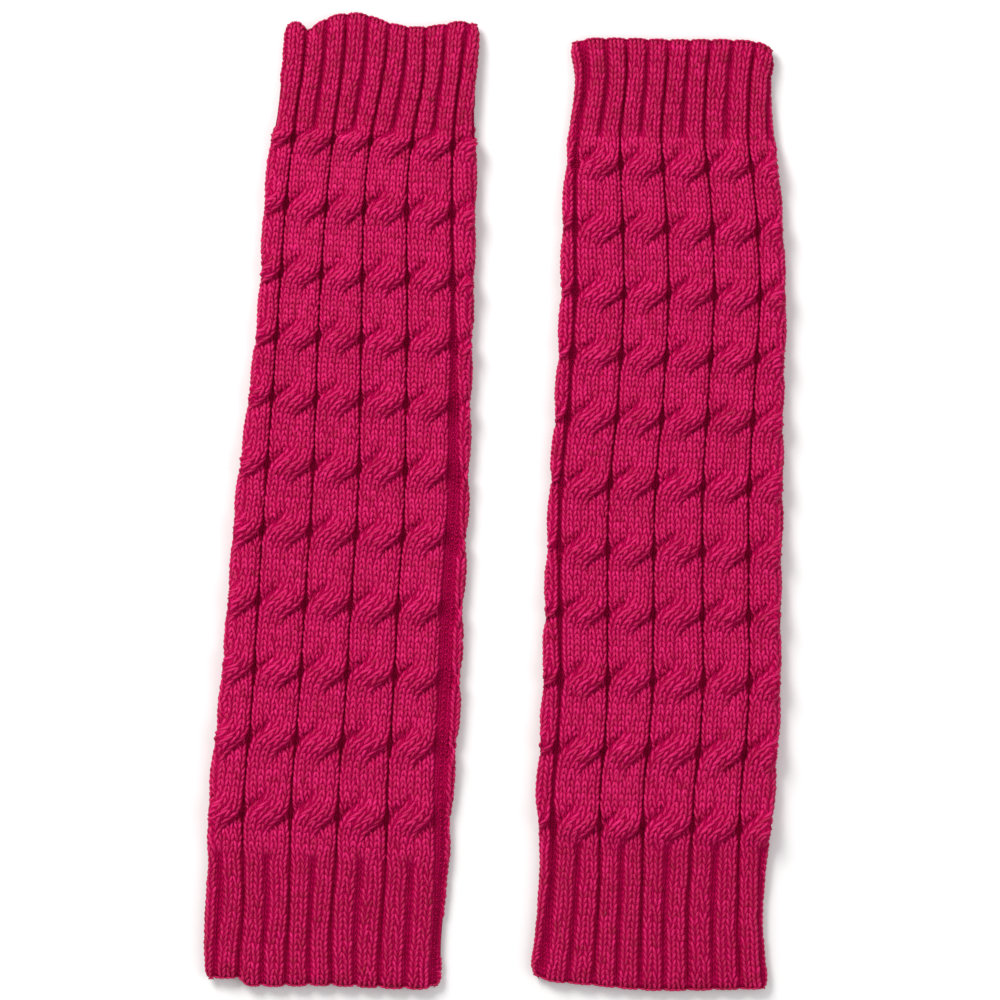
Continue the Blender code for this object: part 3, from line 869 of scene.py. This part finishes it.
def skin_material():
    """The same yarn where stitches are only relief, painted darker as the shade behind the stitches: rows of
    small V shapes, set by wale and row, painted lighter with painted shade between them.
    """
    material, nodes, links, shader = new_material("raspberry_knit_painted_shade")
    uv = nodes.new("ShaderNodeUVMap")
    uv.uv_map = "Knit"
    split = nodes.new("ShaderNodeSeparateXYZ")
    links.new(uv.outputs["UV"], split.inputs[0])
    across = math_node(nodes, links, "SUBTRACT", math_node(nodes, links, "FRACT", split.outputs["X"]), 0.5)
    across = math_node(nodes, links, "ABSOLUTE", across)
    lean = math_node(nodes, links, "MULTIPLY", across, V_LEAN)
    along = math_node(nodes, links, "FRACT", math_node(nodes, links, "SUBTRACT", split.outputs["Y"], lean))
    grain = math_node(nodes, links, "SINE", math_node(nodes, links, "MULTIPLY", along, math.pi))
    column = math_node(nodes, links, "SINE", math_node(nodes, links, "MULTIPLY", across, 2 * math.pi))
    # Painted light and shade: the V shapes are painted lighter and the grooves between them darker
    stitch = math_node(nodes, links, "MULTIPLY", grain, column)
    # Painted shade: no base tone is added here, so the skin is painted darker than the stitches, as the shade
    # behind them
    mottle = math_node(nodes, links, "MULTIPLY", noise(nodes, links, MOTTLE_SCALE), MOTTLE)
    value = math_node(nodes, links, "MULTIPLY_ADD", stitch, V_PAINTED_SHADE, mottle)
    tone = nodes.new("ShaderNodeAttribute")
    tone.attribute_name = "tone"
    value = math_node(nodes, links, "ADD", value, tone.outputs["Fac"])
    finish_yarn(nodes, links, shader, value, stitch, 1.0, 0.0008, SKIN_SPECULAR)
    return material


def floor_material():
    material, nodes, links, shader = new_material("pale_floor")
    clouds = noise(nodes, links, FLOOR_SCALE, 4.0)
    links.new(colour_ramp(nodes, links, clouds, FLOOR_STOPS), shader.inputs["Base Color"])
    shader.inputs["Roughness"].default_value = FLOOR_ROUGHNESS
    return material


# Floor, light and camera

# The picture is 1000 pixels wide
VIEW_MM = 1000 * 0.44
VIEW_X = 2.2 + PAIR_SHIFT_X
VIEW_Y = 0.7 + PAIR_SHIFT_Y
CAMERA_HEIGHT = 3.0
SENSOR_MM = 36.0
FLOOR_HALF = 3.0
FLOOR_DROP = 0.0002
SURROUND = 0.56
Lamp = namedtuple("Lamp", "name place size power colour")
LAMPS = (
    Lamp("key", (-1.15, 1.45, 1.6), 1.1, 56.0, (1.0, 0.98, 0.96)),
    Lamp("fill", (1.4, -0.4, 1.8), 1.6, 12.0, (0.96, 0.98, 1.0)),
)


def make_floor():
    corners = np.array([[-1, -1, 0], [1, -1, 0], [1, 1, 0], [-1, 1, 0]], float) * FLOOR_HALF
    floor = make_object("floor", corners, np.array([[0, 1, 2, 3]]), smooth=False)
    floor.location.z = -FLOOR_DROP
    floor.data.materials.append(floor_material())


def add_light(lamp):
    data = bpy.data.lights.new(lamp.name, "AREA")
    data.size, data.energy, data.color = lamp.size, lamp.power, lamp.colour
    light = bpy.data.objects.new(lamp.name, data)
    light.location = lamp.place
    light.rotation_euler = (-Vector(lamp.place)).to_track_quat("-Z", "Y").to_euler()
    bpy.context.collection.objects.link(light)


def make_studio():
    for lamp in LAMPS:
        add_light(lamp)
    world = bpy.data.worlds.new("soft_surround")
    world.use_nodes = True
    background = world.node_tree.nodes["Background"]
    background.inputs["Color"].default_value = (1.0, 1.0, 1.0, 1)
    background.inputs["Strength"].default_value = SURROUND
    bpy.context.scene.world = world
    bpy.context.scene.view_settings.view_transform = "Standard"


def make_camera():
    data = bpy.data.cameras.new("camera")
    data.sensor_width = SENSOR_MM
    data.lens = SENSOR_MM * CAMERA_HEIGHT / (VIEW_MM * MM)
    data.clip_end = 100.0
    camera = bpy.data.objects.new("camera", data)
    camera.location = (VIEW_X * MM, VIEW_Y * MM, CAMERA_HEIGHT)
    bpy.context.collection.objects.link(camera)
    bpy.context.scene.camera = camera


def dress(piece, material):
    piece.data.materials.append(material)
    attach(piece, "root")


def dress_leg(leg, yarn, deep_yarn, knit, seed):
    draws = np.random.default_rng(seed)
    skin = make_skin(leg)
    dress(skin, knit)
    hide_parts(f"{leg.name}_leg", f"{leg.name}_top_cuff", f"{leg.name}_bottom_cuff")
    stitches = knit_stitches(leg)
    rows = stitches[4]
    middle_row = sum(leg.seam_rows) / 2
    low, high = leg.seam_rows
    stretches = {
        "bottom_cuff_stitches": (rows < low, "rib_yarn"),
        "lower_leg_stitches": ((rows > low) & (rows <= middle_row), "cable_yarn"),
        "upper_leg_stitches": ((rows > middle_row) & (rows < high), "cable_yarn"),
        "top_cuff_stitches": (rows > high, "rib_yarn"),
    }
    for name, (chosen, slot) in stretches.items():
        piece = make_stitches(leg, f"{leg.name}_{name}", [a[chosen] for a in stitches], draws)
        dress(piece, yarn)
    purls, edges = make_purls(leg, draws), make_edges(leg, draws)
    dress(purls, deep_yarn)
    dress(edges, yarn)


yarn = stitch_material("raspberry_yarn", YARN_SPECULAR)
deep_yarn = stitch_material("raspberry_purl_yarn", PURL_SPECULAR)
knit = skin_material()
make_floor()
make_studio()
make_camera()
dress_leg(LEFT, yarn, deep_yarn, knit, 11)
dress_leg(RIGHT, yarn, deep_yarn, knit, 12)
